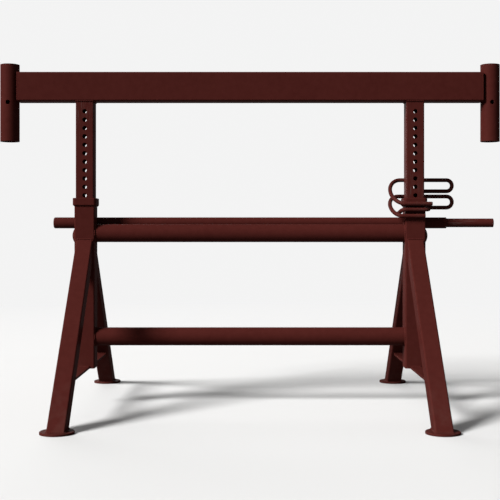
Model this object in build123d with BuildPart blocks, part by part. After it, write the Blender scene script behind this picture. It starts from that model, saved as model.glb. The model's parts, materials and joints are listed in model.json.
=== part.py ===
from build123d import *
import math
import os

# Height-adjustable steel trestle. The origin is on the floor under the middle of the beam,
# X runs along the beam, Y from front to back and Z up. Sizes are in millimetres.

# Feet and legs
foot_diameter = 90.0
foot_thickness = 6.0
foot_edge = 1.0
foot_reach = 451.0
leg_size = 48.0
leg_wall = 3.0
leg_drop = 158.0
tube_corner = 4.0
inner_corner = 1.0

# Tie plates that join the legs to the lower ends of the sleeves
tie_width = 32.0
tie_thickness = 6.0

# Sleeves, collars and the posts that slide in them
post_spacing = 984.0
sleeve_size = 60.0
sleeve_wall = 3.0
sleeve_bottom_z = 110.0
sleeve_top_z = 617.0
collar_size = 70.0
collar_height = 22.0
collar_edge = 2.0
post_clearance = 0.5
post_wall = 3.0
post_bottom_z = 330.0
post_corner = 3.0

# Adjustment holes in the posts
hole_diameter = 13.0
hole_pitch = 25.0
holes_above_collar = 11
holes_in_sleeve = 5
pin_seat_gap = 2.0

# Head travel, counted in hole pitches
pitches_down = 8
pitches_up = 4

# Beam and guard-post sockets
beam_height = 86.0
beam_depth = 60.0
beam_wall = 4.0
beam_bottom_z = 906.0
end_plate_thickness = 5.0
socket_spacing = 1440.0
socket_diameter = 57.0
socket_bore = 50.0
socket_seat = 2.5
socket_bottom_z = 787.0
socket_height = 230.0
socket_pin_hole = 13.0
socket_pin_z = 902.5

# Cross tubes between the sleeves
cross_tube_diameter = 54.0
cross_tube_wall = 3.0
upper_cross_drop = 104.5
lower_cross_z = 203.0

# Rear rail and its sliding rod
rail_diameter = 33.7
rail_wall = 3.2
rail_length = 1195.0
rail_drop = 73.0
rail_standoff = 5.0
rail_cap_thickness = 6.0
rail_cap_edge = 4.0
bracket_width = 44.0
bracket_height = 40.0
rod_clearance = 0.3
rod_wall = 3.0
rod_length = 805.0
rod_reach = 741.0
plug_depth = 12.0
plug_clearance = 0.1
plug_face = 4.0

# Stop rivets in the sleeves, which run in a slot of each post
rivet_drop = 112.0
rivet_head_diameter = 50.0
rivet_head_height = 10.0
rivet_diameter = 12.0
rivet_tip_gap = 0.5
slot_clearance = 0.5
slot_end_gap = 1.0

# Captive locking pins on the right-hand post
pin_diameter = 12.0
pin_stroke = 22.0
pin_nose_gap = 1.0
pin_pitches_apart = 2
handle_clearance = 1.0
rod_end_edge = 1.5
handle_turn = 34.0
turn_flat = 0.4
handle_reach = 126.5
handle_left_reach = 69.5
upper_bar_drop = 75.5
upper_bar_reach = 48.0
lower_bar_drop = 61.5
lower_bar_reach = 28.0
loop_width = 78.0
loop_drop = 42.5
loop_slope = 12.0
loop_flare = 10.0
loop_bend = 14.0
loop_tail = 37.0
guide_thickness = 8.0
guide_gap = 1.5
guide_width = 34.0
guide_margin = 14.0
guide_corner = 6.0

# Sizes that follow from the ones above
post_x = post_spacing / 2
post_size = sleeve_size - 2 * sleeve_wall - 2 * post_clearance
sleeve_height = sleeve_top_z - sleeve_bottom_z
leg_joint_z = sleeve_top_z - leg_drop
leg_lean = math.atan2(foot_reach - sleeve_size / 2, leg_joint_z)
upper_cross_z = sleeve_top_z - upper_cross_drop
rail_z = sleeve_top_z - rail_drop
rivet_z = sleeve_top_z - rivet_drop
beam_length = socket_spacing - socket_diameter + 2 * socket_seat
lowest_pin_z = sleeve_top_z + pin_diameter / 2 + pin_seat_gap
travel_down = pitches_down * hole_pitch
travel_up = pitches_up * hole_pitch
rail_y = sleeve_size / 2 + rail_standoff + rail_diameter / 2
rail_bore = rail_diameter - 2 * rail_wall
rod_diameter = rail_bore - 2 * rod_clearance
guide_front_y = post_size / 2 + guide_gap
guide_back_y = guide_front_y + guide_thickness
handle_y = guide_back_y + handle_clearance + pin_stroke + pin_diameter / 2
sides = (("left", -1), ("right", 1))

os.makedirs("parts", exist_ok=True)


def hollow_square(size, wall, corner):
    """Outline of a square tube, drawn in the open sketch."""
    RectangleRounded(size, size, corner)
    RectangleRounded(size - 2 * wall, size - 2 * wall, inner_corner, mode=Mode.SUBTRACT)


def hollow_round(diameter, wall):
    """Outline of a round tube, drawn in the open sketch."""
    Circle(diameter / 2)
    Circle(diameter / 2 - wall, mode=Mode.SUBTRACT)


# Foot plates, legs, and tie plates mitred to the inner faces of the legs
for side, sx in sides:
    for end, sy in (("front", -1), ("rear", 1)):
        with BuildPart() as foot_plate:
            with BuildSketch() as foot_outline:
                with Locations((sx * post_x, sy * foot_reach)):
                    Circle(foot_diameter / 2)
            extrude(amount=foot_thickness)
            chamfer(foot_plate.edges().group_by(Axis.Z)[-1], foot_edge)
        foot_plate.part.label = f"foot_plate_{end}_{side}"
        export_step(foot_plate.part, f"parts/foot_plate_{end}_{side}.step")

        leg_foot = Vector(sx * post_x, sy * foot_reach, 0)
        up_leg = (0, -sy * math.sin(leg_lean), math.cos(leg_lean))
        leg_plane = Plane(origin=leg_foot, x_dir=(1, 0, 0), z_dir=up_leg)
        sleeve_face = Plane(origin=(0, sy * sleeve_size / 2, 0), z_dir=(0, sy, 0))
        with BuildPart() as leg:
            with BuildSketch(leg_plane) as leg_section:
                hollow_square(leg_size, leg_wall, tube_corner)
            extrude(amount=foot_reach + leg_joint_z, both=True)
            split(bisect_by=sleeve_face, keep=Keep.TOP)
            split(bisect_by=Plane.XY.offset(foot_thickness), keep=Keep.TOP)
        leg.part.label = f"leg_{end}_{side}"
        export_step(leg.part, f"parts/leg_{end}_{side}.step")

        inward = Vector(0, -sy * math.cos(leg_lean), -math.sin(leg_lean))
        leg_inner_face = Plane(origin=leg_foot + inward * (leg_size / 2), z_dir=inward)
        with BuildPart() as tie_plate:
            with BuildSketch(Plane.XY.offset(sleeve_bottom_z)) as tie_outline:
                with Locations((sx * post_x, sy * foot_reach / 2)):
                    Rectangle(tie_width, foot_reach)
            extrude(amount=tie_thickness)
            split(bisect_by=sleeve_face, keep=Keep.TOP)
            split(bisect_by=leg_inner_face, keep=Keep.TOP)
        tie_plate.part.label = f"tie_plate_{end}_{side}"
        export_step(tie_plate.part, f"parts/tie_plate_{end}_{side}.step")

# Sleeves, with a hole for the stop rivet in the outer wall
for side, sx in sides:
    rivet_place = (sx * (post_x + sleeve_size / 2), 0, rivet_z)
    outer_wall = Plane(origin=rivet_place, x_dir=(0, 1, 0), z_dir=(-sx, 0, 0))
    with BuildPart() as sleeve:
        with BuildSketch(Plane.XY.offset(sleeve_bottom_z)) as sleeve_section:
            with Locations((sx * post_x, 0)):
                hollow_square(sleeve_size, sleeve_wall, tube_corner)
        extrude(amount=sleeve_height)
        with BuildSketch(outer_wall) as rivet_hole:
            Circle(rivet_diameter / 2)
        extrude(amount=2 * sleeve_wall, mode=Mode.SUBTRACT)
    sleeve.part.label = f"sleeve_{side}"
    export_step(sleeve.part, f"parts/sleeve_{side}.step")

    with BuildPart() as collar:
        with BuildSketch(Plane.XY.offset(sleeve_top_z - collar_height)) as collar_section:
            with Locations((sx * post_x, 0)):
                RectangleRounded(collar_size, collar_size, tube_corner + (collar_size - sleeve_size) / 2)
                RectangleRounded(sleeve_size, sleeve_size, tube_corner, mode=Mode.SUBTRACT)
        extrude(amount=collar_height)
        outer_edges = collar.faces().sort_by(Axis.Z)[-1].outer_wire().edges()
        lower_edges = collar.faces().sort_by(Axis.Z)[0].outer_wire().edges()
        fillet(outer_edges + lower_edges, collar_edge)
    collar.part.label = f"sleeve_collar_{side}"
    export_step(collar.part, f"parts/sleeve_collar_{side}.step")

# Stop rivets: a low domed head outside the sleeve and a shank that ends inside the post's slot
rivet_shank = sleeve_wall + post_clearance + post_wall - rivet_tip_gap
for side, sx in sides:
    rivet_place = (sx * (post_x + sleeve_size / 2), 0, rivet_z)
    rivet_seat = Plane(origin=rivet_place, x_dir=(sx, 0, 0), z_dir=(0, -1, 0))
    with BuildPart() as rivet:
        with BuildSketch(rivet_seat) as rivet_profile:
            with BuildLine() as rivet_outline:
                TangentArc((rivet_head_height, 0), (0, rivet_head_diameter / 2), tangent=(0, 1))
                Polyline(
                    (0, rivet_head_diameter / 2),
                    (0, rivet_diameter / 2),
                    (-rivet_shank, rivet_diameter / 2),
                    (-rivet_shank, 0),
                    (rivet_head_height, 0),
                )
            make_face()
        revolve(axis=Axis(rivet_seat.origin, rivet_seat.x_dir))
    rivet.part.label = f"stop_rivet_{side}"
    export_step(rivet.part, f"parts/stop_rivet_{side}.step")

# Posts, with adjustment holes from front to back and a stop slot in the outer wall
slot_top_z = rivet_z + travel_down + rivet_diameter / 2 + slot_end_gap
slot_bottom_z = rivet_z - travel_up - rivet_diameter / 2 - slot_end_gap
slot_width = rivet_diameter + 2 * slot_clearance
for side, sx in sides:
    slot_centre = (sx * (post_x + post_size / 2), 0, (slot_top_z + slot_bottom_z) / 2)
    slot_plane = Plane(origin=slot_centre, x_dir=(0, 0, 1), z_dir=(-sx, 0, 0))
    with BuildPart() as post:
        with BuildSketch(Plane.XY.offset(post_bottom_z)) as post_section:
            with Locations((sx * post_x, 0)):
                hollow_square(post_size, post_wall, post_corner)
        extrude(amount=beam_bottom_z - post_bottom_z)
        with BuildSketch(Plane.XZ) as hole_row:
            for step in range(-holes_in_sleeve, holes_above_collar):
                with Locations((sx * post_x, lowest_pin_z + step * hole_pitch)):
                    Circle(hole_diameter / 2)
        extrude(amount=post_size, both=True, mode=Mode.SUBTRACT)
        with BuildSketch(slot_plane) as stop_slot:
            SlotOverall(slot_top_z - slot_bottom_z, slot_width)
        extrude(amount=2 * post_wall, mode=Mode.SUBTRACT)
    post.part.label = f"inner_post_{side}"
    export_step(post.part, f"parts/inner_post_{side}.step")

# Guard-post sockets, open at both ends, with a cross hole for a retaining bolt
for side, sx in sides:
    with BuildPart() as socket:
        with BuildSketch(Plane.XY.offset(socket_bottom_z)) as socket_section:
            with Locations((sx * socket_spacing / 2, 0)):
                hollow_round(socket_diameter, (socket_diameter - socket_bore) / 2)
        extrude(amount=socket_height)
        with BuildSketch(Plane.XZ) as socket_hole:
            with Locations((sx * socket_spacing / 2, socket_pin_z)):
                Circle(socket_pin_hole / 2)
        extrude(amount=socket_diameter, both=True, mode=Mode.SUBTRACT)
    socket.part.label = f"guard_socket_{side}"
    export_step(socket.part, f"parts/guard_socket_{side}.step")

# Beam, closed by end plates that are hollowed to sit against the sockets
beam_middle_z = beam_bottom_z + beam_height / 2
tube_end_x = beam_length / 2 - end_plate_thickness
with BuildPart() as beam:
    with BuildSketch(Plane(origin=(0, 0, beam_middle_z), x_dir=(0, 1, 0), z_dir=(1, 0, 0))) as beam_section:
        RectangleRounded(beam_depth, beam_height, tube_corner)
        RectangleRounded(
            beam_depth - 2 * beam_wall, beam_height - 2 * beam_wall, inner_corner, mode=Mode.SUBTRACT
        )
    extrude(amount=tube_end_x, both=True)
beam.part.label = "top_beam"
export_step(beam.part, "parts/top_beam.step")

for side, sx in sides:
    end_plane = Plane(origin=(sx * tube_end_x, 0, beam_middle_z), x_dir=(0, sx, 0), z_dir=(sx, 0, 0))
    with BuildPart() as end_plate:
        with BuildSketch(end_plane) as end_outline:
            RectangleRounded(beam_depth, beam_height, tube_corner)
        extrude(amount=end_plate_thickness)
        with BuildSketch(Plane.XY.offset(beam_bottom_z)) as socket_hollow:
            with Locations((sx * socket_spacing / 2, 0)):
                Circle(socket_diameter / 2)
        extrude(amount=beam_height, mode=Mode.SUBTRACT)
    end_plate.part.label = f"beam_end_plate_{side}"
    export_step(end_plate.part, f"parts/beam_end_plate_{side}.step")

# Cross tubes between the inner faces of the sleeves
cross_length = post_spacing - sleeve_size
for name, cross_z in (("upper_cross_tube", upper_cross_z), ("lower_cross_tube", lower_cross_z)):
    with BuildPart() as cross_tube:
        with BuildSketch(Plane.YZ) as cross_section:
            with Locations((0, cross_z)):
                hollow_round(cross_tube_diameter, cross_tube_wall)
        extrude(amount=cross_length / 2, both=True)
    cross_tube.part.label = name
    export_step(cross_tube.part, f"parts/{name}.step")

# Rear rail, its closed left end and the saddles that carry it
rail_start = -rail_length / 2 + rail_cap_thickness
rail_end = rail_length / 2
with BuildPart() as rail:
    with BuildSketch(Plane.YZ.offset(rail_start)) as rail_section:
        with Locations((rail_y, rail_z)):
            hollow_round(rail_diameter, rail_wall)
    extrude(amount=rail_end - rail_start)
rail.part.label = "rail_tube"
export_step(rail.part, "parts/rail_tube.step")

with BuildPart() as rail_cap:
    with BuildSketch(Plane.YZ.offset(rail_start)) as cap_face:
        with Locations((rail_y, rail_z)):
            Circle(rail_diameter / 2)
    extrude(amount=-rail_cap_thickness)
    fillet(rail_cap.edges().group_by(Axis.X)[0], rail_cap_edge)
    with BuildSketch(Plane.YZ.offset(rail_start)) as cap_spigot:
        with Locations((rail_y, rail_z)):
            Circle(rail_bore / 2 - plug_clearance)
    extrude(amount=plug_depth)
rail_cap.part.label = "rail_end_cap"
export_step(rail_cap.part, "parts/rail_end_cap.step")

for side, sx in sides:
    with BuildPart() as saddle:
        with BuildSketch(Plane.YZ.offset(sx * post_x)) as saddle_section:
            with Locations(((sleeve_size / 2 + rail_y) / 2, rail_z)):
                Rectangle(rail_y - sleeve_size / 2, bracket_height)
            with Locations((rail_y, rail_z)):
                Circle(rail_diameter / 2, mode=Mode.SUBTRACT)
        extrude(amount=bracket_width / 2, both=True)
    saddle.part.label = f"rail_saddle_{side}"
    export_step(saddle.part, f"parts/rail_saddle_{side}.step")

# Sliding rod in the rail, closed by a plug at its outer end
rod_tip_x = rod_reach - plug_face
with BuildPart() as rod:
    with BuildSketch(Plane.YZ.offset(rod_reach - rod_length)) as rod_section:
        with Locations((rail_y, rail_z)):
            hollow_round(rod_diameter, rod_wall)
    extrude(amount=rod_length - plug_face)
rod.part.label = "extension_rod"
export_step(rod.part, "parts/extension_rod.step")

with BuildPart() as rod_plug:
    with BuildSketch(Plane.YZ.offset(rod_tip_x)) as plug_outline:
        with Locations((rail_y, rail_z)):
            Circle(rod_diameter / 2)
    extrude(amount=plug_face)
    with BuildSketch(Plane.YZ.offset(rod_tip_x)) as plug_spigot:
        with Locations((rail_y, rail_z)):
            Circle(rod_diameter / 2 - rod_wall - plug_clearance)
    extrude(amount=-plug_depth)
rod_plug.part.label = "extension_rod_plug"
export_step(rod_plug.part, "parts/extension_rod_plug.step")

# Guide plate behind the right-hand post, which carries the two pins
upper_pin_z = lowest_pin_z + pin_pitches_apart * hole_pitch
guide_height = upper_pin_z + guide_margin - sleeve_top_z
with BuildPart() as guide:
    guide_face = Plane(origin=(post_x, guide_front_y, sleeve_top_z), x_dir=(1, 0, 0), z_dir=(0, -1, 0))
    with BuildSketch(guide_face) as guide_outline:
        with Locations((0, guide_height / 2)):
            Rectangle(guide_width, guide_height)
        fillet(guide_outline.vertices().group_by(Axis.Z)[-1], guide_corner)
        for step in range(pin_pitches_apart + 1):
            with Locations((0, lowest_pin_z - sleeve_top_z + step * hole_pitch)):
                Circle(hole_diameter / 2, mode=Mode.SUBTRACT)
    extrude(amount=-guide_thickness)
guide.part.label = "pin_guide"
export_step(guide.part, "parts/pin_guide.step")

# Locking pins: a straight shank welded to a bent-rod handle, which turns forward beside the post
handle_right_x = post_x + handle_reach
handle_left_x = post_x - handle_left_reach
bar_offset = pin_diameter / 2 + handle_clearance
turn_radius = (handle_turn - turn_flat) / 2

loop_z = lowest_pin_z - loop_drop
loop_front_y = -(sleeve_size / 2 + bar_offset)
collar_front_y = -(collar_size / 2 + bar_offset)
upper_start = [(post_x, handle_y, upper_pin_z - handle_turn)]
sleeve_loop = [
    (post_x - loop_width / 2 - loop_flare, loop_front_y + loop_tail, loop_z - loop_slope),
    (post_x - loop_width / 2, loop_front_y, loop_z),
    (post_x + loop_width / 2, loop_front_y, loop_z),
    (post_x + loop_width / 2, handle_y, lowest_pin_z - handle_turn),
]
pins = (
    ("upper", upper_pin_z, upper_start, [], upper_bar_drop, collar_front_y, upper_bar_reach),
    ("lower", lowest_pin_z, sleeve_loop, [loop_bend] * 3, lower_bar_drop, loop_front_y, lower_bar_reach),
)
for name, pin_z, start, start_bends, drop, front_y, bar_reach in pins:
    arc_x = handle_left_x + drop / 2
    arc_centre = (arc_x, (handle_y + front_y) / 2, pin_z - drop / 2)
    arc_plane = Plane(origin=arc_centre, x_dir=(-1, 0, 0), z_dir=(0, drop, front_y - handle_y))
    with BuildLine(arc_plane) as side_arc:
        EllipticalCenterArc((0, 0), drop / 2, math.hypot(handle_y - front_y, drop) / 2, -90, arc_size=180)
    outer_turn = [(handle_right_x, handle_y, pin_z - handle_turn), (handle_right_x, handle_y, pin_z)]
    arc_top = (arc_x, handle_y, pin_z)
    with BuildPart() as handle:
        with BuildLine() as handle_path:
            FilletPolyline(*start, *outer_turn, arc_top, radius=start_bends + [turn_radius, turn_radius])
            add(side_arc.line)
            Line((arc_x, front_y, pin_z - drop), (post_x + bar_reach, front_y, pin_z - drop))
        path = handle_path.wire()
        with BuildSketch(Plane(origin=path @ 0, z_dir=path % 0)) as rod_outline:
            Circle(pin_diameter / 2)
        sweep(path=path)
        for tip in (path @ 0, path @ 1):
            chamfer(handle.faces().sort_by_distance(tip)[0].edges(), rod_end_edge)
    handle.part.label = f"lock_pin_handle_{name}"
    export_step(handle.part, f"parts/lock_pin_handle_{name}.step")

    shank_tip_y = post_size / 2 + pin_nose_gap
    shank_front = Plane(origin=(post_x, shank_tip_y, pin_z), x_dir=(1, 0, 0), z_dir=(0, 1, 0))
    with BuildPart() as shank:
        with BuildSketch(shank_front) as shank_outline:
            Circle(pin_diameter / 2)
        extrude(amount=handle_y - shank_tip_y)
        chamfer(shank.edges().group_by(Axis.Y)[0], rod_end_edge)
        with BuildSketch(Plane(origin=(post_x, handle_y, pin_z), z_dir=(1, 0, 0))) as handle_seat:
            Circle(pin_diameter / 2)
        extrude(amount=pin_diameter, both=True, mode=Mode.SUBTRACT)
    shank.part.label = f"lock_pin_shank_{name}"
    export_step(shank.part, f"parts/lock_pin_shank_{name}.step")
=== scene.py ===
import json
import math

import bmesh
import bpy
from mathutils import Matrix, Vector


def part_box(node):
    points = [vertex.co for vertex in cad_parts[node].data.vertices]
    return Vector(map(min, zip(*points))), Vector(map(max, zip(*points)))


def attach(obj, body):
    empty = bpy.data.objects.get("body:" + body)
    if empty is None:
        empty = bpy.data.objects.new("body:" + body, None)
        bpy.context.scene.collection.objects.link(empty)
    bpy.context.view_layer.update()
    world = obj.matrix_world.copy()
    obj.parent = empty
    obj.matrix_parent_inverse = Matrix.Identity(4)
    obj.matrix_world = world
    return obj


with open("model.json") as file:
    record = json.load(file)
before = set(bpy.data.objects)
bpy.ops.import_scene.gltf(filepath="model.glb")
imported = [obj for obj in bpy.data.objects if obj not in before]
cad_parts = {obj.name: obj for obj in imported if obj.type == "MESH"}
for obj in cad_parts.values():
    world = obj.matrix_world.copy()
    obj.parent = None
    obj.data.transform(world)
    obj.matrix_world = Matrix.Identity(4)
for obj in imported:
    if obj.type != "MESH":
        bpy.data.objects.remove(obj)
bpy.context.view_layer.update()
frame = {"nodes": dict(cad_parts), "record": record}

# The photograph's camera: level, square on to the beam, in metres and image pixels
IMAGE_WIDTH = 500
FOCAL_PIXELS = 1000
CAMERA_DISTANCE = 3.0
CAMERA_HEIGHT = 0.503
HORIZON_PIXEL = 236.3
SENSOR_WIDTH = 36.0

# Paint colours, linear
PAINT = (0.0520, 0.0105, 0.0085)
PAINT_DARK = (0.0460, 0.0090, 0.0073)
PAINT_LIGHT = (0.0590, 0.0125, 0.0102)
PAINT_WORN = (0.1000, 0.0260, 0.0200)
BARE_STEEL = (0.200, 0.180, 0.165)
DUST = (0.120, 0.070, 0.058)

# Paint tone and dust: shares from 0 to 1, height in metres
MOTTLE_SHARE = 0.45
DUST_SHARE = 0.16
DUST_ROUGHNESS = 0.30
DUST_HEIGHT = 0.16

# Worn edges: their radius in metres, and the cosines of the rounding's turn where wear starts and is full
EDGE_RADIUS = 0.0014
EDGE_SAMPLES = 4
EDGE_START = 0.985
EDGE_FULL = 0.80
WEAR_SHARE = 0.55

# Slide marks: the noise's scale along the scratches, and the share of paint that they take
SCRATCH_STRETCH = 0.02
POST_RUB = 0.22
ROD_RUB = 0.35
PIN_RUB = 0.30

# Gloss and bumps: depths in metres
ROUGHNESS_LOW = 0.44
ROUGHNESS_HIGH = 0.58
COAT_WEIGHT = 0.03
COAT_ROUGHNESS = 0.35
WAVE_DEPTH = 0.0008
WAVE_STRENGTH = 0.10
PEEL_DEPTH = 0.00025
PEEL_STRENGTH = 0.16

# Studio floor: its colour as seen and as it lights the object, and where it runs out into the surround
FLOOR = (0.620, 0.617, 0.611)
FLOOR_BOUNCE = (0.200, 0.199, 0.196)
FLOOR_ROUGHNESS = 0.9
FLOOR_SPECULAR = 0.1
FLOOR_HALF = 30.0
FLOOR_NEAR = 1.4
FLOOR_FAR = 4.5

# Studio light: the surround's level as seen and as it lights the object, and two suns, angles in degrees
SURROUND = 0.90
AMBIENT = 0.10
LIGHT_AIM = (0.0, 0.0, 0.5)
KEY_PLACE = (-4.19, -2.72, 3.87)
KEY_ENERGY = 6.6
KEY_ANGLE = 20
BACK_PLACE = (-1.5, 4.8, 1.8)
BACK_ENERGY = 1.9
BACK_ANGLE = 40

# Weld beads, and the corner radii of the pieces that they follow, in metres
BEAD_RADIUS = 0.0026
BEAD_STEP = 0.0014
BEAD_RIPPLE_PITCH = 0.0056
BEAD_RIPPLE = 0.16
BEAD_SIDES = 10
TUBE_CORNER = 0.004
POST_CORNER = 0.003
SADDLE_CORNER = 0.001
CORNER_STEPS = 4

# Colour sockets of a Mix node
MIX_FIRST = 6
MIX_SECOND = 7
MIX_RESULT = 2

# Sides, ends and directions of the object
SIDES = (("left", -1), ("right", 1))
ENDS = (("front", -1), ("rear", 1))
X = Vector((1, 0, 0))
Y = Vector((0, 1, 0))
Z = Vector((0, 0, 1))


class Graph:
    """Short calls for the nodes of one material."""

    def __init__(self, name):
        self.material = bpy.data.materials.new(name)
        self.material.use_nodes = True
        self.tree = self.material.node_tree
        self.shader = self.tree.nodes["Principled BSDF"]
        self.place = self.tree.nodes.new("ShaderNodeTexCoord").outputs["Object"]

    def link(self, source, target):
        self.tree.links.new(source, target)

    def noise(self, scale, detail, stretch=(1.0, 1.0, 1.0)):
        """Noise over the object's own metres; a stretch below 1 draws the grain out along that axis."""
        mapping = self.tree.nodes.new("ShaderNodeMapping")
        mapping.inputs["Scale"].default_value = stretch
        self.link(self.place, mapping.inputs["Vector"])
        node = self.tree.nodes.new("ShaderNodeTexNoise")
        node.inputs["Scale"].default_value = scale
        node.inputs["Detail"].default_value = detail
        self.link(mapping.outputs["Vector"], node.inputs["Vector"])
        return node.outputs["Fac"]

    def span(self, value, low, high, to_low=0.0, to_high=1.0):
        """Value stretched from low..high to to_low..to_high and held at the ends."""
        node = self.tree.nodes.new("ShaderNodeMapRange")
        node.inputs["From Min"].default_value = low
        node.inputs["From Max"].default_value = high
        node.inputs["To Min"].default_value = to_low
        node.inputs["To Max"].default_value = to_high
        self.link(value, node.inputs["Value"])
        return node.outputs["Result"]

    def math(self, operation, a, b):
        """Math node over two values, each a socket or a number."""
        node = self.tree.nodes.new("ShaderNodeMath")
        node.operation = operation
        for socket, value in zip(node.inputs, (a, b)):
            if isinstance(value, float):
                socket.default_value = value
            else:
                self.link(value, socket)
        return node.outputs["Value"]

    def mix(self, amount, first, second):
        """Colour mix: first where amount is 0, second where it is 1."""
        node = self.tree.nodes.new("ShaderNodeMix")
        node.data_type = "RGBA"
        self.link(amount, node.inputs["Factor"])
        for index, colour in ((MIX_FIRST, first), (MIX_SECOND, second)):
            if isinstance(colour, tuple):
                node.inputs[index].default_value = (*colour, 1.0)
            else:
                self.link(colour, node.inputs[index])
        return node.outputs[MIX_RESULT]

    def height(self):
        """Height above the floor at rest."""
        node = self.tree.nodes.new("ShaderNodeSeparateXYZ")
        self.link(self.place, node.inputs["Vector"])
        return node.outputs["Z"]

    def edges(self, radius):
        """A mask, near 1 on sharp edges and 0 on flat or gently curved faces, and the rounded normal."""
        bevel = self.tree.nodes.new("ShaderNodeBevel")
        bevel.samples = EDGE_SAMPLES
        bevel.inputs["Radius"].default_value = radius
        flat = self.tree.nodes.new("ShaderNodeNewGeometry")
        dot = self.tree.nodes.new("ShaderNodeVectorMath")
        dot.operation = "DOT_PRODUCT"
        self.link(bevel.outputs["Normal"], dot.inputs[0])
        self.link(flat.outputs["Normal"], dot.inputs[1])
        mask = self.span(dot.outputs["Value"], EDGE_START, EDGE_FULL)
        return mask, bevel.outputs["Normal"]

    def bump(self, normal, layers):
        """Stacks bump layers of (height, depth in metres, strength) over a normal."""
        for value, depth, strength in layers:
            node = self.tree.nodes.new("ShaderNodeBump")
            node.inputs["Distance"].default_value = depth
            node.inputs["Strength"].default_value = strength
            self.link(value, node.inputs["Height"])
            self.link(normal, node.inputs["Normal"])
            normal = node.outputs["Normal"]
        self.link(normal, self.shader.inputs["Normal"])


def slide_marks(g, tone, axis, rub):
    """Paint tone with patches of fine bare scratches along an axis; rub is how much paint they take."""
    stretch = tuple(SCRATCH_STRETCH if name == axis else 1.0 for name in "XYZ")
    scratch = g.span(g.noise(scale=900.0, detail=2.0, stretch=stretch), low=0.56, high=0.70)
    patch = g.span(g.noise(scale=9.0, detail=2.0), low=0.40, high=0.62)
    scratch = g.math("MULTIPLY", g.math("MULTIPLY", scratch, patch), rub)
    g.link(scratch, g.shader.inputs["Metallic"])
    return g.mix(scratch, tone, BARE_STEEL)


def paint_material(name, rubbed_along=None, rub=0.0):
    """Dull paint with tone drift, orange peel, worn edges, dust low down and slide marks where rubbed."""
    g = Graph(name)
    drift = g.span(g.noise(scale=5.0, detail=4.0), low=0.30, high=0.70)
    mottle = g.span(g.noise(scale=60.0, detail=3.0), low=0.35, high=0.65)
    tone = g.mix(drift, PAINT_DARK, PAINT)
    tone = g.mix(g.math("MULTIPLY", mottle, MOTTLE_SHARE), tone, PAINT_LIGHT)

    edge, rounded = g.edges(EDGE_RADIUS)
    chips = g.span(g.noise(scale=140.0, detail=4.0), low=0.46, high=0.60)
    worn = g.math("MULTIPLY", g.math("MULTIPLY", edge, chips), WEAR_SHARE)
    tone = g.mix(worn, tone, PAINT_WORN)
    if rubbed_along:
        tone = slide_marks(g, tone, rubbed_along, rub)

    near_floor = g.span(g.height(), low=DUST_HEIGHT, high=0.0)
    dust = g.span(g.noise(scale=35.0, detail=5.0), low=0.42, high=0.72)
    dust = g.math("MULTIPLY", near_floor, dust)
    tone = g.mix(g.math("MULTIPLY", dust, DUST_SHARE), tone, DUST)
    g.link(tone, g.shader.inputs["Base Color"])

    cloud = g.noise(scale=22.0, detail=4.0)
    roughness = g.span(cloud, low=0.30, high=0.70, to_low=ROUGHNESS_LOW, to_high=ROUGHNESS_HIGH)
    roughness = g.math("ADD", roughness, g.math("MULTIPLY", dust, DUST_ROUGHNESS))
    g.link(roughness, g.shader.inputs["Roughness"])
    g.shader.inputs["Specular IOR Level"].default_value = 0.0
    g.shader.inputs["Coat Weight"].default_value = COAT_WEIGHT
    g.shader.inputs["Coat Roughness"].default_value = COAT_ROUGHNESS

    waves = g.noise(scale=38.0, detail=2.0)
    peel = g.noise(scale=420.0, detail=2.0)
    g.bump(rounded, [(waves, WAVE_DEPTH, WAVE_STRENGTH), (peel, PEEL_DEPTH, PEEL_STRENGTH)])
    return g.material


def seen_directly(tree):
    """1 for camera, glossy and transmission rays, 0 for the rays that light the object."""
    path = tree.nodes.new("ShaderNodeLightPath")
    seen = path.outputs["Is Camera Ray"]
    for name in ("Is Glossy Ray", "Is Transmission Ray"):
        node = tree.nodes.new("ShaderNodeMath")
        node.operation = "ADD"
        node.use_clamp = True
        tree.links.new(seen, node.inputs[0])
        tree.links.new(path.outputs[name], node.inputs[1])
        seen = node.outputs["Value"]
    return seen


def floor_material():
    """Plain pale studio floor that keeps the shadow and runs out into the surround."""
    g = Graph("studio_floor")
    seen = seen_directly(g.tree)
    g.link(g.mix(seen, FLOOR_BOUNCE, FLOOR), g.shader.inputs["Base Color"])
    g.shader.inputs["Roughness"].default_value = FLOOR_ROUGHNESS
    g.shader.inputs["Specular IOR Level"].default_value = FLOOR_SPECULAR
    glow = g.tree.nodes.new("ShaderNodeEmission")
    g.link(g.span(seen, low=0.0, high=1.0, to_high=SURROUND), glow.inputs["Strength"])
    reach = g.tree.nodes.new("ShaderNodeVectorMath")
    reach.operation = "LENGTH"
    g.link(g.place, reach.inputs[0])
    fade = g.tree.nodes.new("ShaderNodeMixShader")
    g.link(g.span(reach.outputs["Value"], FLOOR_NEAR, FLOOR_FAR), fade.inputs["Fac"])
    g.link(g.shader.outputs["BSDF"], fade.inputs[1])
    g.link(glow.outputs["Emission"], fade.inputs[2])
    g.link(fade.outputs["Shader"], g.tree.nodes["Material Output"].inputs["Surface"])
    return g.material


def middle(low, high):
    """Centre of a box given by its two corners."""
    return (low + high) / 2


def spaced(corners, closed=True):
    """Points at even small steps along straight runs between corners."""
    runs = list(zip(corners, corners[1:]))
    if closed:
        runs.append((corners[-1], corners[0]))
    points = []
    for start, end in runs:
        steps = max(1, round((end - start).length / BEAD_STEP))
        points += [start.lerp(end, step / steps) for step in range(steps)]
    if not closed:
        points.append(corners[-1])
    return points


def rectangle(centre, u, v, width, height, corner):
    """Closely spaced points round a rounded rectangle across directions u and v."""
    corners = []
    for turn, (su, sv) in enumerate(((1, 1), (-1, 1), (-1, -1), (1, -1))):
        pivot = centre + u * su * (width / 2 - corner) + v * sv * (height / 2 - corner)
        for step in range(CORNER_STEPS + 1):
            angle = math.pi / 2 * (turn + step / CORNER_STEPS)
            corners.append(pivot + (u * math.cos(angle) + v * math.sin(angle)) * corner)
    return spaced(corners)


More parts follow.
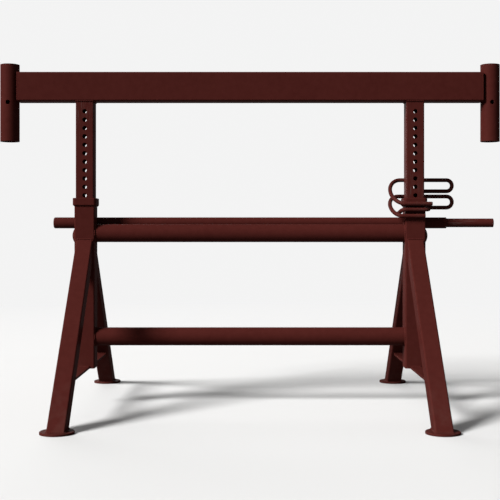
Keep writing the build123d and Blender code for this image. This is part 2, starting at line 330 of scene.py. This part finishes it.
def circle(centre, u, v, radius):
    """Closely spaced points round a circle across directions u and v."""
    steps = round(2 * math.pi * radius / BEAD_STEP)
    turns = [2 * math.pi * step / steps for step in range(steps)]
    return [centre + (u * math.cos(turn) + v * math.sin(turn)) * radius for turn in turns]


def nearest_turn(ring, target):
    """target's points, turned so that they start beside ring's first point."""
    start = min(range(BEAD_SIDES), key=lambda i: (target[i].co - ring[0].co).length)
    return [target[(start + i) % BEAD_SIDES] for i in range(BEAD_SIDES)]


def bead_mesh(name, points, closed):
    """Rippled weld bead that follows closely spaced points."""
    count = len(points)
    mesh = bmesh.new()
    rings = []
    travelled = 0.0
    side = None
    for index, point in enumerate(points):
        before = points[index - 1] if index or closed else point
        after = points[(index + 1) % count] if index + 1 < count or closed else point
        along = (after - before).normalized()
        if side is None:
            side = along.orthogonal()
        side = (side - along * side.dot(along)).normalized()
        other = along.cross(side)
        if index:
            travelled += (point - points[index - 1]).length
        phase = 2 * math.pi * travelled / BEAD_RIPPLE_PITCH
        radius = BEAD_RADIUS * (1 + BEAD_RIPPLE * math.cos(phase))
        ring = []
        for step in range(BEAD_SIDES):
            turn = 2 * math.pi * step / BEAD_SIDES
            offset = side * math.cos(turn) + other * math.sin(turn)
            ring.append(mesh.verts.new(point + offset * radius))
        rings.append(ring)
    spans = list(zip(rings, rings[1:]))
    if closed:
        spans.append((rings[-1], nearest_turn(rings[-1], rings[0])))
    for ring, following in spans:
        for step in range(BEAD_SIDES):
            beside = (step + 1) % BEAD_SIDES
            mesh.faces.new((ring[step], ring[beside], following[beside], following[step]))
    if not closed:
        mesh.faces.new(tuple(reversed(rings[0])))
        mesh.faces.new(tuple(rings[-1]))
    bmesh.ops.recalc_face_normals(mesh, faces=mesh.faces)
    data = bpy.data.meshes.new(name)
    mesh.to_mesh(data)
    mesh.free()
    data.polygons.foreach_set("use_smooth", [True] * len(data.polygons))
    return data


def weld(name, points, body, material, closed=True):
    """Adds a weld bead that rides on a body."""
    bead = bpy.data.objects.new(name, bead_mesh(name, points, closed))
    bpy.context.scene.collection.objects.link(bead)
    bead.data.materials.append(material)
    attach(bead, body)


def weld_frame(material):
    """Beads of the welded base: cross tubes, collars, rail saddles, legs, feet and tie plates."""
    for side, sx in SIDES:
        low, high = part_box(f"sleeve_{side}")
        post = middle(low, high)
        half = (high.x - low.x) / 2
        inner_face = Vector((post.x - sx * half, 0, 0))
        for name in ("upper_cross_tube", "lower_cross_tube"):
            tube_low, tube_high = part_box(name)
            centre = inner_face + Z * middle(tube_low, tube_high).z
            ring = circle(centre, Y, Z, (tube_high.z - tube_low.z) / 2)
            weld(f"weld_{name}_{side}", ring, "base", material)
        collar_low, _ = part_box(f"sleeve_collar_{side}")
        seam = rectangle(Vector((post.x, 0, collar_low.z)), X, Y, 2 * half, 2 * half, TUBE_CORNER)
        weld(f"weld_collar_{side}", seam, "base", material)
        saddle_low, saddle_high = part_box(f"rail_saddle_{side}")
        size = saddle_high - saddle_low
        centre = Vector((post.x, high.y, middle(saddle_low, saddle_high).z))
        seam = rectangle(centre, X, Z, size.x, size.z, SADDLE_CORNER)
        weld(f"weld_saddle_{side}", seam, "base", material)
        for end, sy in ENDS:
            weld_leg(side, end, sy, post, half, material)


def weld_leg(side, end, sy, post, half, material):
    """Beads round a leg's head and foot, and at both ends of its tie plate."""
    low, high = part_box(f"leg_{end}_{side}")
    width = high.x - low.x
    lean = math.atan2(high.y - low.y, high.z - low.z)
    head_height = width / math.sin(lean)
    head = Vector((post.x, sy * half, high.z - head_height / 2))
    seam = rectangle(head, X, Z, width, head_height, TUBE_CORNER)
    weld(f"weld_leg_head_{end}_{side}", seam, "base", material)

    foot_length = width / math.cos(lean)
    outer = low.y if sy < 0 else high.y
    foot = Vector((post.x, outer - sy * foot_length / 2, low.z))
    seam = rectangle(foot, X, Y, width, foot_length, TUBE_CORNER)
    weld(f"weld_foot_{end}_{side}", seam, "base", material)

    tie_low, tie_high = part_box(f"tie_plate_{end}_{side}")
    reach = tie_low.y if sy < 0 else tie_high.y
    reach -= sy * (tie_high.z - tie_low.z) * math.tan(lean)
    for name, place in (("tie_leg", reach), ("tie_sleeve", sy * half)):
        start = Vector((tie_low.x, place, tie_high.z))
        finish = Vector((tie_high.x, place, tie_high.z))
        seam = spaced([start, finish], closed=False)
        weld(f"weld_{name}_{end}_{side}", seam, "base", material, closed=False)


def weld_head(material):
    """Beads of the head: posts under the beam, and sockets at its ends."""
    beam_low, beam_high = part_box("top_beam")
    for side, sx in SIDES:
        low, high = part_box(f"inner_post_{side}")
        post = middle(low, high)
        size = high.x - low.x
        seam = rectangle(Vector((post.x, 0, beam_low.z)), X, Y, size, size, POST_CORNER)
        weld(f"weld_post_{side}", seam, "head", material)
        low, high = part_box(f"guard_socket_{side}")
        socket = middle(low, high)
        radius = (high.x - low.x) / 2
        plate_low, plate_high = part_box(f"beam_end_plate_{side}")
        end_x = plate_high.x if sx > 0 else plate_low.x
        reach = math.sqrt(radius ** 2 - (socket.x - end_x) ** 2)
        for end, sy in ENDS:
            start = Vector((end_x, sy * reach, beam_low.z))
            finish = Vector((end_x, sy * reach, beam_high.z))
            seam = spaced([start, finish], closed=False)
            weld(f"weld_socket_{end}_{side}", seam, "head", material, closed=False)


def weld_pins(material):
    """Beads round the shanks where they meet the bent handles."""
    for name in ("upper", "lower"):
        low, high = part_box(f"lock_pin_shank_{name}")
        centre = middle(low, high)
        radius = (high.x - low.x) / 2
        ring = circle(Vector((centre.x, high.y - radius / 2, centre.z)), X, Z, radius)
        weld(f"weld_pin_{name}", ring, f"pin_{name}", material)


def paint_nodes(materials):
    """Gives every CAD node the material of its record slot, and the posts one with slide marks."""
    for part in frame["record"]["subparts"]:
        node = frame["nodes"][part["node"]]
        finish = "post_paint" if part["node"].startswith("inner_post") else part["material_slot"]
        node.data.materials.clear()
        node.data.materials.append(materials[finish])


def add_floor():
    """Large pale floor under the feet."""
    mesh = bmesh.new()
    bmesh.ops.create_grid(mesh, x_segments=1, y_segments=1, size=FLOOR_HALF)
    data = bpy.data.meshes.new("studio_floor")
    mesh.to_mesh(data)
    mesh.free()
    floor = bpy.data.objects.new("studio_floor", data)
    bpy.context.scene.collection.objects.link(floor)
    data.materials.append(floor_material())


def add_sun(name, place, energy, angle):
    """Soft sun that shines from a place towards the middle of the object."""
    light = bpy.data.lights.new(name, "SUN")
    light.energy = energy
    light.angle = math.radians(angle)
    lamp = bpy.data.objects.new(name, light)
    lamp.location = place
    lamp.rotation_euler = (Vector(LIGHT_AIM) - Vector(place)).to_track_quat("-Z", "Y").to_euler()
    bpy.context.scene.collection.objects.link(lamp)


def add_lights():
    """Soft key from the upper left front, a weaker low light from behind and a pale surround."""
    add_sun("key", KEY_PLACE, KEY_ENERGY, KEY_ANGLE)
    add_sun("back", BACK_PLACE, BACK_ENERGY, BACK_ANGLE)
    world = bpy.data.worlds.new("studio")
    world.use_nodes = True
    surround = world.node_tree.nodes["Background"]
    surround.inputs["Color"].default_value = (1.0, 1.0, 1.0, 1.0)
    level = world.node_tree.nodes.new("ShaderNodeMapRange")
    level.inputs["To Min"].default_value = AMBIENT
    level.inputs["To Max"].default_value = SURROUND
    world.node_tree.links.new(seen_directly(world.node_tree), level.inputs["Value"])
    world.node_tree.links.new(level.outputs["Result"], surround.inputs["Strength"])
    bpy.context.scene.world = world


def add_camera():
    """Level camera, square on to the beam."""
    data = bpy.data.cameras.new("photo_camera")
    data.sensor_width = SENSOR_WIDTH
    data.lens = SENSOR_WIDTH * FOCAL_PIXELS / IMAGE_WIDTH
    data.shift_y = HORIZON_PIXEL / IMAGE_WIDTH - 0.5
    camera = bpy.data.objects.new("photo_camera", data)
    camera.location = (0.0, -CAMERA_DISTANCE, CAMERA_HEIGHT)
    camera.rotation_euler = (math.radians(90), 0.0, 0.0)
    bpy.context.scene.collection.objects.link(camera)
    bpy.context.scene.camera = camera


def main():
    bpy.context.scene.view_settings.view_transform = "Standard"
    materials = {
        "frame_paint": paint_material("frame_paint"),
        "head_paint": paint_material("head_paint"),
        "post_paint": paint_material("post_paint", "Z", POST_RUB),
        "rod_paint": paint_material("rod_paint", "X", ROD_RUB),
        "pin_paint": paint_material("pin_paint", "Y", PIN_RUB),
    }
    paint_nodes(materials)
    weld_frame(materials["frame_paint"])
    weld_head(materials["head_paint"])
    weld_pins(materials["pin_paint"])
    add_floor()
    add_lights()
    add_camera()


main()
